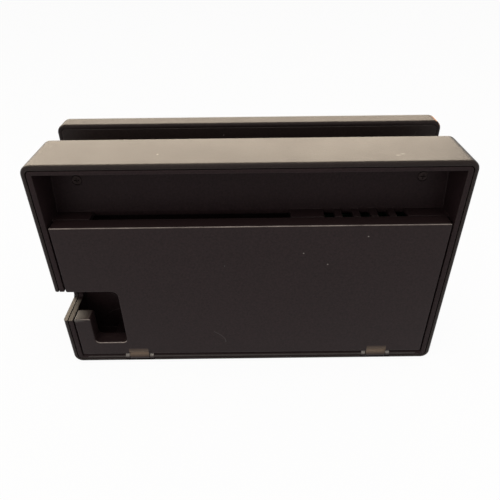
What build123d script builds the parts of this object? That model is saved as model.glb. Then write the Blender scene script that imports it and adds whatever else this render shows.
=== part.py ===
"""Television dock for a flat handheld console.

The dock stands on four feet with its front towards -Y. The console drops into the slot between the
front panel and the rear box, and a cover at the rear swings down over the cable bay.
Sizes are in millimetres, with the origin at the middle of the footprint on the table.
"""

import os

from build123d import *

os.makedirs("parts", exist_ok=True)

# Overall size
width = 173.0
height = 104.0
depth = 54.0
front_depth = 9.8
slot_gap = 17.4
slot_floor = 20.0
foot_stand = 0.6

# Walls of the mouldings and the lines between them
wall = 1.9
front_wall = 2.2
rim = 2.1
top_rim = 1.6
inner_wall = 2.0
fit = 0.35
panel_fit = 0.1
corner_r = 4.0
slot_edge_r = 1.3
rear_edge_r = 1.4
front_edge_r = 1.6
seam_edge_r = 0.35

# Console slot
rail_thick = 1.4
rail_wide = 5.0
rail_inset = 26.5
rail_foot = 4.0
rail_head = 7.0
cable_pass_margin = 4.0
cable_pass_right_x = 12.0

# Grip recess across the top of the rear face
recess_room = 2.6
recess_lean = 3.8
vent_count = 5
vent_pitch = 7.5
vent_wide = 4.6
vent_drop = 5.0
vent_middle_inset = 38.4
bay_slot_inset = 19.7

# Rear cover
cover_top = 76.8
cover_side_gap = 0.6
cover_plate = 2.0
flange_gap = 0.3
flange_thick = 1.6
flange_lift = 3.6
cover_edge_r = 0.5
cut_step = 0.5
cut_bottom = 13.2
cut_inset = 27.4
finger_inset = 12.4
cut_corner_r = 3.0
window_corner_r = 2.0
finger_corner_r = 0.7
cover_rib_count = 4
cover_rib_pitch = 16.0
cover_rib_thick = 1.2
cover_rib_tall = 1.6
catch_r = 1.3
catch_tall = 0.3
catch_drop = 6.0

# Hinge of the rear cover
hinge_insets = (32.0, 26.4)
hinge_low = 0.7
hinge_skin = 0.4
knuckle_r = 1.9
knuckle_wide = 9.3
knuckle_crown = 4.2
knuckle_lap = 0.4
arm_thick = 1.2
trunnion_r = 1.0
running_fit = 0.05
ear_gap = 0.25
ear_thick = 1.9
hinge_room = 0.3
rim_chamfer = 1.4

# Cable bay and board compartment behind the cover
housing_stand = 2.6
cover_rib_room = 1.05
port_face_x = -16.9
notch_low = 27.4
notch_high = 44.4
notch_deep = 18.0
notch_corner_r = 1.5
cable_rib_inset = 20.5
cable_rib_wide = 4.0
cable_rib_tall = 3.2

# Screws
head_r = 1.9
head_tall = 1.4
shank_r = 1.0
screw_clear = 0.15
cross_long = 2.2
cross_wide = 0.5
cross_deep = 0.7
boss_r = 3.0
tower_r = 4.0
boss_tall = 5.4
boss_floor = 1.0
screw_tip_gap = 0.5
recess_screw_inset = 14.8
recess_screw_drop = 13.6
panel_screw_inset = 9.5
panel_screw_rise = 5.2
panel_screw_drop = 3.8
bay_screw_xs = (40.0, 4.0)
bay_screw_rise = 7.2
bay_screw_drop = 14.8

# Boards and their parts
board_thick = 1.6
board_right_gap = 0.3
boards_gap = 0.6
board_foot_gap = 5.2
board_head_gap = 2.8
board_screw_inset = 4.0
board_post_r = 2.5
window_clear = 0.25
mouth_inset = 0.2
socket_sheet = 0.4
socket_corner_r = 0.6
tongue_inset = 1.0
ribbon_wide = 12.0
ribbon_thick = 0.3
ribbon_bow = 1.2
ribbon_socket_inset = 3.5
ribbon_socket_deep = 4.0
ribbon_socket_tall = 1.8
ribbon_socket_side = 1.2
chip_thick = 1.0
video_chip_side = 9.0
video_chip_rise = 21.0
hub_chip_side = 7.0
hub_chip_rise = 8.0
shield_wide = 30.0
shield_rise = 19.0
shield_long = 30.0
shield_tall = 3.6
shield_sheet = 0.5
shield_corner_r = 1.5
power_part_inset = 6.0
power_part_rise = 14.0
capacitor_count = 3
capacitor_pitch = 9.0
capacitor_r = 3.2
capacitor_tall = 5.4
inductor_count = 2
inductor_pitch = 11.0
inductor_side = 7.0
inductor_tall = 4.0
inductor_corner_r = 1.0

# Sockets: thickness above the board, width along it and length
video_size = (5.4, 15.0, 11.5)
usb_size = (5.7, 13.2, 14.0)
power_size = (3.3, 9.0, 8.5)
video_tongue = (1.3, 2.6)
usb_tongue = (1.9, 1.2)
power_tongue = (0.8, 1.2)
side_socket_pitch = 18.0
side_board_wide = 11.5
side_board_margin = 6.4

# Charging plug at the bottom of the slot, on its tilting carrier
plug_wide = 8.3
plug_thick = 2.5
plug_stand = 6.7
plug_sheet = 0.35
collar_long = 26.0
collar_wide = 11.5
collar_tall = 1.2
plug_opening_long = 14.0
plug_opening_wide = 8.0
carrier_long = 22.0
carrier_wide = 11.0
spring_room = 3.1
carrier_tall = 6.0
neck_long = 11.6
neck_wide = 4.6
pivot_rise = 2.4
pivot_r = 1.5
bracket_sheet = 1.0
bracket_ear_gap = 0.3
bracket_wide = 9.0
bracket_foot = 2.0
bracket_tab = 9.0
spring_sheet = 0.3
spring_wide = 4.0
spring_gap = 0.5
plug_cable_wide = 3.6
plug_cable_thick = 1.0
plug_cable_bend = 2.0
plug_cable_gap = 0.4
plug_cable_rise = 4.9
plug_root = 3.0
plug_socket_x = -40.0
plug_socket_wide = 9.0
plug_socket_tall = 4.0
plug_socket_deep = 2.2

# Status light
light_inset = 18.5
light_z = 9.0
light_pipe_r = 1.1
light_flange_r = 1.9
light_flange_tall = 0.8
led_board_wide = 9.0
led_board_tall = 7.0
led_board_thick = 1.0
led_cable_wide = 3.0
led_cable_thick = 0.5
led_cable_bend = 2.0
led_socket_z = 20.0
led_socket_wide = 4.0
led_socket_tall = 3.0
led_socket_deep = 1.6

# Feet
foot_long = 16.0
foot_wide = 7.0
foot_sunk = 0.5
foot_side_inset = 20.5
foot_front_inset = 6.4
foot_rear_inset = 13.0

# Planes and edges that the sizes above give
half_width = width / 2
y_front = -depth / 2
y_rear = depth / 2
y_panel = y_front + front_depth
y_box = y_panel + slot_gap
y_slot_wall = y_box + wall
shell_tall = height - foot_stand
shell_mid = foot_stand + shell_tall / 2
floor_top = foot_stand + wall
slot_ceiling = slot_floor - wall
housing_half = half_width - wall - fit
open_half = housing_half - rim
open_low = foot_stand + wall + fit + rim
open_high = height - wall - fit - top_rim

# Spare depth of the rear box, shared evenly before the shield, behind the sockets and behind the cover's ribs
board_deep = shield_tall + board_thick + usb_size[0]
cover_deep = cover_plate + cover_rib_tall + cover_rib_room
spare_places = 3
depth_gap = (y_rear - y_slot_wall - board_deep - inner_wall - cover_deep) / spare_places
panel_depth = cover_deep + depth_gap
flange_deep = panel_depth - flange_gap

# Planes and edges that follow from the panel and the cover
y_panel_rear = y_rear - panel_depth
y_panel_inner = y_panel_rear - inner_wall
y_housing = y_slot_wall + housing_stand
y_bay = y_housing + inner_wall
y_recess_top = y_bay + recess_room
y_recess_foot = y_recess_top + recess_lean
shelf_low = cover_top - inner_wall
port_inner_x = port_face_x - inner_wall
cover_half = open_half - cover_side_gap
cover_bottom = open_low + cover_side_gap
cut_top = notch_high - cut_step
finger_top = notch_low + cut_step
cut_inner_x = half_width - cut_inset
finger_x = half_width - finger_inset
hinge_places = (half_width - hinge_insets[0], hinge_insets[1] - half_width)
hinge_y = y_rear - knuckle_r
hinge_z = foot_stand + hinge_low + knuckle_r
knuckle_half = knuckle_wide / 2
ear_inner = knuckle_half + ear_gap
ear_outer = ear_inner + ear_thick
plug_y = (y_panel + y_box) / 2
light_x = light_inset - half_width
board_front_y = y_slot_wall + depth_gap + shield_tall
board_back_y = board_front_y + board_thick
side_board_x = fit - open_half
side_board_end_x = side_board_x + side_board_wide
board_left_x = side_board_end_x + boards_gap
board_right_x = port_inner_x - board_right_gap
board_low = open_low + board_foot_gap
board_high = shelf_low - board_head_gap

# Places of the screws that hold the rear housing
tower_foot_y = y_slot_wall + boss_tall
tower_seat_y = tower_foot_y + inner_wall
recess_screw_x = half_width - recess_screw_inset
recess_screw_z = height - recess_screw_drop
panel_screw_x = panel_screw_inset - half_width
panel_screw_zs = (open_low + panel_screw_rise, shelf_low - panel_screw_drop)
tower_places = (
    (recess_screw_x, recess_screw_z),
    (-recess_screw_x, recess_screw_z),
    (panel_screw_x, panel_screw_zs[0]),
    (panel_screw_x, panel_screw_zs[1]),
)
bay_screw_places = (
    (bay_screw_xs[0], open_low + bay_screw_rise),
    (bay_screw_xs[1], shelf_low - bay_screw_drop),
)

# Places of the sockets: two on the side board, three spread evenly between the main board's screws
side_middle_z = sum(panel_screw_zs) / 2
side_socket_zs = (side_middle_z - side_socket_pitch / 2, side_middle_z + side_socket_pitch / 2)
board_screw_zs = (board_low + board_screw_inset, board_high - board_screw_inset)
socket_room = board_screw_zs[1] - board_screw_zs[0] - 2 * board_post_r
socket_space = (socket_room - video_size[1] - usb_size[1] - power_size[1]) / 4
video_z = board_screw_zs[0] + board_post_r + socket_space + video_size[1] / 2
usb_z = video_z + video_size[1] / 2 + socket_space + usb_size[1] / 2
power_z = usb_z + usb_size[1] / 2 + socket_space + power_size[1] / 2


def across(y):
    """The upright plane at y, with x and z as its axes. Extruding from it goes towards the front."""
    return Plane.XZ.offset(-y)


def outline(plane, inset, above=None, below=None):
    """The dock's rounded outline, moved inwards by inset and cut off above or below a height."""
    with BuildSketch(plane) as sketch:
        with Locations((0, shell_mid)):
            corner = max(corner_r - inset, seam_edge_r)
            RectangleRounded(width - 2 * inset, shell_tall - 2 * inset, corner)
        if below is not None:
            with Locations((0, below + shell_tall / 2)):
                Rectangle(width, shell_tall, mode=Mode.SUBTRACT)
        if above is not None:
            with Locations((0, above - shell_tall / 2)):
                Rectangle(width, shell_tall, mode=Mode.SUBTRACT)
    return sketch.sketch


def rectangle(plane, low, high, radius=0.0):
    """A rectangle between two corners of a plane, with rounded corners if a radius is given."""
    with BuildSketch(plane) as sketch:
        with Locations(((low[0] + high[0]) / 2, (low[1] + high[1]) / 2)):
            if radius:
                RectangleRounded(high[0] - low[0], high[1] - low[1], radius)
            else:
                Rectangle(high[0] - low[0], high[1] - low[1])
    return sketch.sketch


def discs(plane, places, radius):
    """Equal circles at places on a plane."""
    with BuildSketch(plane) as sketch:
        with Locations(*places):
            Circle(radius)
    return sketch.sketch


def slot_side_edges(part, y):
    """The outer edges of a part at y, above the slot floor."""
    level = part.edges().filter_by_position(Axis.Y, y - seam_edge_r, y + seam_edge_r)
    upper = level.filter_by_position(Axis.Z, slot_floor + slot_edge_r, height)
    return upper.filter_by(lambda edge: edge.bounding_box().size.Y < seam_edge_r)


def save(piece, name):
    """Labels a finished piece and writes it."""
    piece.label = name
    export_step(piece, f"parts/{name}.step")


# The main body: rear box, base and the slot's front wall, moulded as one U
box_depth = y_rear - y_box
rail_x = half_width - rail_inset
rail_low = slot_floor + rail_foot
rail_high = height - rail_head
rail_places = ((rail_x, (rail_low + rail_high) / 2), (-rail_x, (rail_low + rail_high) / 2))
foot_x = half_width - foot_side_inset
foot_ys = (y_panel + foot_front_inset, y_rear - foot_rear_inset)
foot_places = [(x, y) for x in (-foot_x, foot_x) for y in foot_ys]
side_board_low = min(side_socket_zs) - usb_size[1] / 2 - side_board_margin
side_board_high = max(side_socket_zs) + usb_size[1] / 2 + side_board_margin
side_screw_x = side_board_x + side_board_wide / 2
side_screw_places = (
    (side_screw_x, side_board_low + side_board_margin / 2),
    (side_screw_x, side_board_high - side_board_margin / 2),
)
bracket_ear_x = carrier_long / 2 + bracket_ear_gap
bracket_screw_x = bracket_ear_x + bracket_sheet + bracket_tab / 2
bracket_screw_places = ((-bracket_screw_x, plug_y), (bracket_screw_x, plug_y))

with BuildPart() as main_body:
    extrude(outline(across(y_rear), 0), amount=box_depth)
    extrude(outline(across(y_box), 0, below=slot_floor), amount=slot_gap)
    fillet(slot_side_edges(main_body, y_box), slot_edge_r)
    fillet(main_body.faces().sort_by(Axis.Y)[-1].outer_wire().edges(), rear_edge_r)
    extrude(outline(across(y_rear), wall), amount=box_depth - wall, mode=Mode.SUBTRACT)
    tunnel = outline(across(y_box), wall, below=slot_ceiling)
    extrude(tunnel, amount=slot_gap, mode=Mode.SUBTRACT)
    cable_pass = rectangle(
        across(y_slot_wall),
        (light_x - cable_pass_margin, floor_top),
        (cable_pass_right_x, slot_ceiling),
    )
    extrude(cable_pass, amount=wall, mode=Mode.SUBTRACT)
    extrude(outline(across(y_panel), wall + panel_fit, above=slot_ceiling), amount=wall)
    # Guide rails on both sides of the slot
    for y in (y_panel + rail_thick, y_box):
        with BuildSketch(across(y)):
            with Locations(*rail_places):
                SlotOverall(rail_high - rail_low, rail_wide, rotation=90)
        extrude(amount=rail_thick)
    # Collar and opening for the charging plug
    with BuildSketch(Plane.XY.offset(slot_floor)):
        with Locations((0, plug_y)):
            SlotOverall(collar_long, collar_wide)
    extrude(amount=collar_tall)
    with BuildSketch(Plane.XY.offset(slot_floor + collar_tall)):
        with Locations((0, plug_y)):
            SlotOverall(plug_opening_long, plug_opening_wide)
    extrude(amount=-(collar_tall + wall), mode=Mode.SUBTRACT)
    # Bosses on the slot wall for the rear housing and the side board
    extrude(discs(across(tower_foot_y), tower_places, boss_r), amount=tower_foot_y - y_slot_wall)
    extrude(discs(across(y_housing), bay_screw_places, boss_r), amount=y_housing - y_slot_wall)
    side_posts = discs(across(board_front_y), side_screw_places, board_post_r)
    extrude(side_posts, amount=board_front_y - y_slot_wall)
    boss_bottom = y_slot_wall - wall + boss_floor
    for y, places in (
        (tower_foot_y, tower_places),
        (y_housing, bay_screw_places),
        (board_front_y, side_screw_places),
    ):
        extrude(discs(across(y), places, shank_r), amount=y - boss_bottom, mode=Mode.SUBTRACT)
    # Posts for the plug's bracket on the floor of the base
    extrude(discs(Plane.XY.offset(floor_top), bracket_screw_places, boss_r), amount=bracket_foot)
    extrude(
        discs(Plane.XY.offset(floor_top + bracket_foot), bracket_screw_places, shank_r),
        amount=-(bracket_foot + wall - boss_floor),
        mode=Mode.SUBTRACT,
    )
    # Cable notch in one side, windows for the two sockets in the other
    notch = rectangle(
        Plane.YZ.offset(half_width),
        (y_rear - notch_deep, notch_low),
        (y_rear + notch_corner_r, notch_high),
        notch_corner_r,
    )
    extrude(notch, amount=-(wall + fit), mode=Mode.SUBTRACT)
    for z in side_socket_zs:
        window = rectangle(
            Plane.YZ.offset(-half_width),
            (board_back_y - window_clear, z - usb_size[1] / 2 - window_clear),
            (board_back_y + usb_size[0] + window_clear, z + usb_size[1] / 2 + window_clear),
        )
        extrude(window, amount=wall, mode=Mode.SUBTRACT)
    # Notches in the lower rim for the hinge, over a thin floor, and pockets for the feet
    for x in hinge_places:
        gap = rectangle(
            Plane.XY.offset(foot_stand + hinge_skin),
            (x - ear_outer - hinge_room, hinge_y - knuckle_r - 2 * hinge_room),
            (x + ear_outer + hinge_room, y_rear),
        )
        extrude(gap, amount=wall - hinge_skin, mode=Mode.SUBTRACT)
    for x, y in foot_places:
        with BuildSketch(Plane.XY.offset(foot_stand)):
            with Locations((x, y)):
                SlotOverall(foot_long, foot_wide)
        extrude(amount=foot_sunk, mode=Mode.SUBTRACT)
save(main_body.part, "main_body")

# The front panel's shell, closed over the slot's front wall
liner_front_y = y_panel - wall
cover_inner_y = y_front + front_wall
stop_zs = (slot_floor + boss_r, height - rail_head - boss_r)
stop_places = [(x, z) for x in (-rail_x, 0, rail_x) for z in stop_zs]
with BuildPart() as front_cover:
    extrude(outline(across(y_panel), 0, above=slot_floor), amount=front_depth)
    fillet(slot_side_edges(front_cover, y_panel), slot_edge_r)
    extrude(outline(across(y_panel), 0, below=slot_floor), amount=front_depth)
    fillet(front_cover.faces().sort_by(Axis.Y)[0].outer_wire().edges(), front_edge_r)
    extrude(outline(across(y_panel), wall), amount=front_depth - front_wall, mode=Mode.SUBTRACT)
    # Stops that the slot's front wall rests on, and posts for the light's board
    extrude(discs(across(liner_front_y), stop_places, boss_r), amount=liner_front_y - cover_inner_y)
    light_hole = discs(across(cover_inner_y), ((light_x, light_z),), light_pipe_r + running_fit)
    extrude(light_hole, amount=front_wall, mode=Mode.SUBTRACT)
    led_post_x = led_board_wide / 2 - 1.5 * shank_r
    led_post_places = ((light_x - led_post_x, light_z), (light_x + led_post_x, light_z))
    led_board_front_y = cover_inner_y + light_flange_tall + running_fit
    led_posts = discs(across(led_board_front_y), led_post_places, shank_r)
    extrude(led_posts, amount=led_board_front_y - cover_inner_y)
save(front_cover.part, "front_cover")

# The rear housing: a deep frame with the grip recess above, the cable bay and the board compartment
all_screw_places = tower_places + bay_screw_places
board_screw_places = [
    (x, z)
    for x in (board_left_x + board_screw_inset, board_right_x - board_screw_inset)
    for z in board_screw_zs
]
side_plane = Plane.YZ.offset(-open_half)
with BuildPart() as rear_housing:
    extrude(outline(across(y_rear), wall + fit), amount=y_rear - y_housing)
    fillet(rear_housing.faces().sort_by(Axis.Y)[-1].outer_wire().edges(), seam_edge_r)
    # Hollows on the front side: behind the recess wall and round the board
    with BuildSketch(side_plane):
        with BuildLine():
            Polyline(
                (y_housing, cover_top),
                (y_recess_foot - inner_wall, cover_top),
                (y_recess_top - inner_wall, open_high),
                (y_housing, open_high),
                close=True,
            )
        make_face()
    extrude(amount=2 * open_half, mode=Mode.SUBTRACT)
    compartment = rectangle(across(y_panel_inner), (-open_half, open_low), (port_inner_x, shelf_low))
    extrude(compartment, amount=y_panel_inner - y_housing, mode=Mode.SUBTRACT)
    # Screw towers and board posts
    extrude(discs(across(y_panel_rear), tower_places, tower_r), amount=y_panel_rear - tower_foot_y)
    board_posts = discs(across(y_panel_inner), board_screw_places, board_post_r)
    extrude(board_posts, amount=y_panel_inner - board_back_y)
    # Seat of the cover, cable bay and leaning grip recess, all from the rear
    seat = rectangle(across(y_rear), (-open_half, open_low), (open_half, cover_top))
    extrude(seat, amount=panel_depth, mode=Mode.SUBTRACT)
    bay = rectangle(across(y_rear), (port_face_x, open_low), (open_half, shelf_low))
    extrude(bay, amount=y_rear - y_bay, mode=Mode.SUBTRACT)
    with BuildSketch(side_plane):
        with BuildLine():
            Polyline(
                (y_rear, cover_top),
                (y_recess_foot, cover_top),
                (y_recess_top, open_high),
                (y_rear, open_high),
                close=True,
            )
        make_face()
    extrude(amount=2 * open_half, mode=Mode.SUBTRACT)
    # Open top of the bay, and vents over the boards that run out through the panel's upper edge
    bay_slot = rectangle(
        Plane.XY.offset(cover_top),
        (port_face_x, y_recess_foot),
        (half_width - bay_slot_inset, y_panel_rear),
    )
    extrude(bay_slot, amount=-inner_wall, mode=Mode.SUBTRACT)
    vent_middle_x = vent_middle_inset - half_width
    with BuildSketch(Plane.XY.offset(cover_top)):
        with Locations((vent_middle_x, (y_recess_foot + y_panel_rear) / 2)):
            with GridLocations(vent_pitch, 0, vent_count, 1):
                Rectangle(vent_wide, y_panel_rear - y_recess_foot)
    extrude(amount=-vent_drop, mode=Mode.SUBTRACT)
    # Screw holes: deep towers, and plain holes in the bay's back wall
    extrude(
        discs(across(y_rear), tower_places, head_r + screw_clear),
        amount=y_rear - tower_seat_y,
        mode=Mode.SUBTRACT,
    )
    extrude(
        discs(across(y_rear), all_screw_places, shank_r + screw_clear),
        amount=y_rear - y_housing,
        mode=Mode.SUBTRACT,
    )
    extrude(
        discs(across(board_back_y), board_screw_places, shank_r),
        amount=-(y_panel_inner - board_back_y),
        mode=Mode.SUBTRACT,
    )
    # Socket windows between the boards and the bay
    for (thick, wide, long), z in ((video_size, video_z), (usb_size, usb_z), (power_size, power_z)):
        window = rectangle(
            Plane.YZ.offset(port_face_x),
            (board_back_y - window_clear, z - wide / 2 - window_clear),
            (board_back_y + thick + window_clear, z + wide / 2 + window_clear),
        )
        extrude(window, amount=-inner_wall, mode=Mode.SUBTRACT)
    # Side sockets pass the frame through notches that open to the front
    for z in side_socket_zs:
        window = rectangle(
            Plane.YZ.offset(-housing_half),
            (y_housing, z - usb_size[1] / 2 - window_clear),
            (board_back_y + usb_size[0] + window_clear, z + usb_size[1] / 2 + window_clear),
        )
        extrude(window, amount=rim, mode=Mode.SUBTRACT)
    # Cable notch in the side of the frame
    notch = rectangle(
        Plane.YZ.offset(housing_half),
        (y_rear - notch_deep, notch_low),
        (y_rear + notch_corner_r, notch_high),
        notch_corner_r,
    )
    extrude(notch, amount=-rim, mode=Mode.SUBTRACT)
    # Rib on the bay floor that keeps the cables back
    cable_rib_x = half_width - cable_rib_inset
    rib = rectangle(
        Plane.XY.offset(open_low),
        (cable_rib_x - cable_rib_wide / 2, y_bay),
        (cable_rib_x + cable_rib_wide / 2, y_bay + 2 * cable_rib_wide),
    )
    extrude(rib, amount=cable_rib_tall)
    # Lower rim bevelled to let the cover swing, with an ear on each side of both knuckles
    with BuildSketch(side_plane):
        with BuildLine():
            Polyline(
                (y_rear, open_low),
                (y_rear - rim_chamfer, open_low),
                (y_rear, open_low - rim_chamfer),
                close=True,
            )
        make_face()
    extrude(amount=2 * open_half, mode=Mode.SUBTRACT)
    for x in hinge_places:
        gap = rectangle(
            Plane.XY.offset(open_low),
            (x - ear_inner, hinge_y - knuckle_r - hinge_room),
            (x + ear_inner, y_rear),
        )
        extrude(gap, amount=-rim, mode=Mode.SUBTRACT)
        for ear_x in (x - ear_outer, x + ear_inner):
            with BuildSketch(Plane.YZ.offset(ear_x)):
                with Locations((hinge_y, hinge_z)):
                    Circle(knuckle_r)
                with Locations((hinge_y - knuckle_r / 2, hinge_z)):
                    Rectangle(knuckle_r, 2 * knuckle_r)
            extrude(amount=ear_thick)
        bore = discs(Plane.YZ.offset(x - ear_outer), ((hinge_y, hinge_z),), trunnion_r + running_fit)
        extrude(bore, amount=2 * ear_outer, mode=Mode.SUBTRACT)
save(rear_housing.part, "rear_housing")

# The rear cover: a shallow tray with an L-shaped cut-out for cables and two knuckles at its foot
with BuildPart() as rear_cover:
    with BuildSketch(across(y_rear)) as cover_face:
        with BuildLine():
            FilletPolyline(
                (-cover_half, cover_bottom),
                (-cover_half, cover_top),
                (cover_half, cover_top),
                (cover_half, cut_top),
                (cut_inner_x, cut_top),
                (cut_inner_x, cut_bottom),
                (finger_x, cut_bottom),
                (finger_x, finger_top),
                (cover_half, finger_top),
                (cover_half, cover_bottom),
                radius=(
                    finger_corner_r,
                    finger_corner_r,
                    finger_corner_r,
                    finger_corner_r,
                    cut_corner_r,
                    window_corner_r,
                    window_corner_r,
                    finger_corner_r,
                    finger_corner_r,
                    finger_corner_r,
                ),
                close=True,
            )
        make_face()
    extrude(amount=flange_deep)
    fillet(rear_cover.faces().sort_by(Axis.Y)[-1].outer_wire().edges(), cover_edge_r)
    with BuildSketch(across(y_rear - cover_plate)):
        add(cover_face.sketch.moved(Location((0, -cover_plate, 0))))
        offset(amount=-flange_thick, kind=Kind.INTERSECTION, mode=Mode.REPLACE)
    extrude(amount=flange_deep - cover_plate, mode=Mode.SUBTRACT)
    below = rectangle(
        across(y_rear - cover_plate),
        (-cover_half, cover_bottom),
        (cover_half, cover_bottom + flange_lift),
    )
    extrude(below, amount=flange_deep - cover_plate, mode=Mode.SUBTRACT)
    # Ribs inside the half that faces the boards, and a catch on each side near the top
    rib_low = cover_bottom + flange_lift
    rib_middle_x = (port_face_x - cover_half) / 2
    with BuildSketch(across(y_rear - cover_plate)):
        with Locations((rib_middle_x, (rib_low + cover_top) / 2)):
            with GridLocations(cover_rib_pitch, 0, cover_rib_count, 1):
                Rectangle(cover_rib_thick, cover_top - rib_low - 2 * flange_thick)
    extrude(amount=cover_rib_tall)
    catch_place = (y_rear - flange_deep / 2, cover_top - catch_drop)
    for x in (-cover_half - catch_tall, cover_half):
        extrude(discs(Plane.YZ.offset(x), (catch_place,), catch_r), amount=catch_tall)
    # Knuckles with a rounded crown that stands in a notch of the lower edge, and their trunnions
    crown_notch_top = hinge_z + knuckle_crown - knuckle_lap
    for x in hinge_places:
        notch = rectangle(
            across(y_rear),
            (x - knuckle_half, cover_bottom),
            (x + knuckle_half, crown_notch_top),
        )
        extrude(notch, amount=cover_plate, mode=Mode.SUBTRACT)
        with BuildSketch(Plane.YZ.offset(x - knuckle_half)):
            with Locations((hinge_y, hinge_z)):
                Ellipse(knuckle_r, knuckle_crown)
            with Locations((hinge_y, hinge_z - knuckle_crown / 2)):
                Rectangle(2 * knuckle_r, knuckle_crown, mode=Mode.SUBTRACT)
            with Locations((hinge_y, hinge_z)):
                Circle(knuckle_r)
        extrude(amount=knuckle_wide)
        arm = rectangle(
            Plane.YZ.offset(x - knuckle_half),
            (y_rear - cover_plate - arm_thick, hinge_z),
            (y_rear - cover_plate, rib_low),
        )
        extrude(arm, amount=knuckle_wide)
        trunnion_half = ear_outer - screw_clear
        trunnion = discs(Plane.YZ.offset(x - trunnion_half), ((hinge_y, hinge_z),), trunnion_r)
        extrude(trunnion, amount=2 * trunnion_half)
save(rear_cover.part, "rear_cover")


def facing_rear(y):
    """The upright plane at y whose extrusions go towards the rear, with x to the left and z up."""
    return Plane((0, y, 0), x_dir=(-1, 0, 0), z_dir=(0, 1, 0))


def mirrored(places):
    """Places of an upright plane, as a plane that faces the rear counts them."""
    return [(-x, z) for x, z in places]


def screws(plane, places, shank_long):
    """Cross-head screws whose heads stand on a plane and whose shanks go down through it."""
    with BuildPart() as group:
        extrude(discs(plane, places, head_r), amount=head_tall)
        extrude(discs(plane, places, shank_r), amount=-shank_long)
        with BuildSketch(plane.offset(head_tall)):
            with Locations(*places):
                Rectangle(cross_long, cross_wide)
                Rectangle(cross_wide, cross_long)
        extrude(amount=-cross_deep, mode=Mode.SUBTRACT)
    return group.part


# Six screws hold the rear housing: two in the grip recess and four behind the cover
tower_shank = tower_seat_y - boss_bottom - screw_tip_gap
bay_shank = y_bay - boss_bottom - screw_tip_gap
with BuildPart() as housing_screws:
    add(screws(facing_rear(tower_seat_y), mirrored(tower_places), tower_shank))
    add(screws(facing_rear(y_bay), mirrored(bay_screw_places), bay_shank))
save(housing_screws.part, "housing_screws")

# The main board stands upright in its compartment, on posts of the rear housing
with BuildPart() as main_board:
    plate = rectangle(across(board_back_y), (board_left_x, board_low), (board_right_x, board_high))
    extrude(plate, amount=board_thick)
    holes = discs(across(board_back_y), board_screw_places, shank_r + screw_clear)
    extrude(holes, amount=board_thick, mode=Mode.SUBTRACT)
save(main_board.part, "main_board")
board_shank = board_thick + board_post_r
save(screws(across(board_front_y), board_screw_places, board_shank), "board_screws")


def socket(name, mouth, size, tongue):
    """A sheet-metal socket that lies on the rear of a board, and the contact tongue inside it.

    The mouth plane has its origin on the board, its x axis away from the board and its y axis along it.
    """
    thick, wide, long = size
    tongue_thick, tongue_margin = tongue
    inner_thick = thick - 2 * socket_sheet
    inner_wide = wide - 2 * socket_sheet
    block_long = long / 3
    with BuildPart() as shell:
        extrude(rectangle(mouth, (0, -wide / 2), (thick, wide / 2), socket_corner_r), amount=-long)
        hollow = rectangle(
            mouth,
            (socket_sheet, -inner_wide / 2),
            (socket_sheet + inner_thick, inner_wide / 2),
            socket_corner_r - socket_sheet / 2,
        )
        extrude(hollow, amount=-(long - socket_sheet), mode=Mode.SUBTRACT)
    save(shell.part, name)
    with BuildPart() as insert:
        back = mouth.offset(-(long - socket_sheet))
        block = rectangle(
            back,
            (socket_sheet, -inner_wide / 2),
            (socket_sheet + inner_thick, inner_wide / 2),
            socket_corner_r - socket_sheet / 2,
        )
        extrude(block, amount=block_long)
        blade = rectangle(
            back,
            (thick / 2 - tongue_thick / 2, -wide / 2 + tongue_margin),
            (thick / 2 + tongue_thick / 2, wide / 2 - tongue_margin),
        )
        extrude(blade, amount=long - socket_sheet - tongue_inset)
    save(insert.part, f"{name}_tongue")


# Three sockets face the cable bay, two face the side of the dock
bay_mouth_x = port_face_x - mouth_inset
for name, size, tongue, z in (
    ("video_socket", video_size, video_tongue, video_z),
    ("usb_socket", usb_size, usb_tongue, usb_z),
    ("power_socket", power_size, power_tongue, power_z),
):
    mouth = Plane((bay_mouth_x, board_back_y, z), x_dir=(0, 1, 0), z_dir=(1, 0, 0))
    socket(name, mouth, size, tongue)
side_mouth_x = -half_width + mouth_inset
for name, z in zip(("lower_side_socket", "upper_side_socket"), side_socket_zs):
    mouth = Plane((side_mouth_x, board_back_y, z), x_dir=(0, 1, 0), z_dir=(-1, 0, 0))
    socket(name, mouth, usb_size, usb_tongue)

# The side board carries the two side sockets on posts of the slot wall
with BuildPart() as side_board:
    plate = rectangle(
        across(board_back_y),
        (side_board_x, side_board_low),
        (side_board_end_x, side_board_high),
    )
    extrude(plate, amount=board_thick)
    holes = discs(across(board_back_y), side_screw_places, shank_r + screw_clear)
    extrude(holes, amount=board_thick, mode=Mode.SUBTRACT)
save(side_board.part, "side_board")
side_shank = board_thick + board_post_r
save(screws(facing_rear(board_back_y), mirrored(side_screw_places), side_shank), "side_board_screws")

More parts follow.
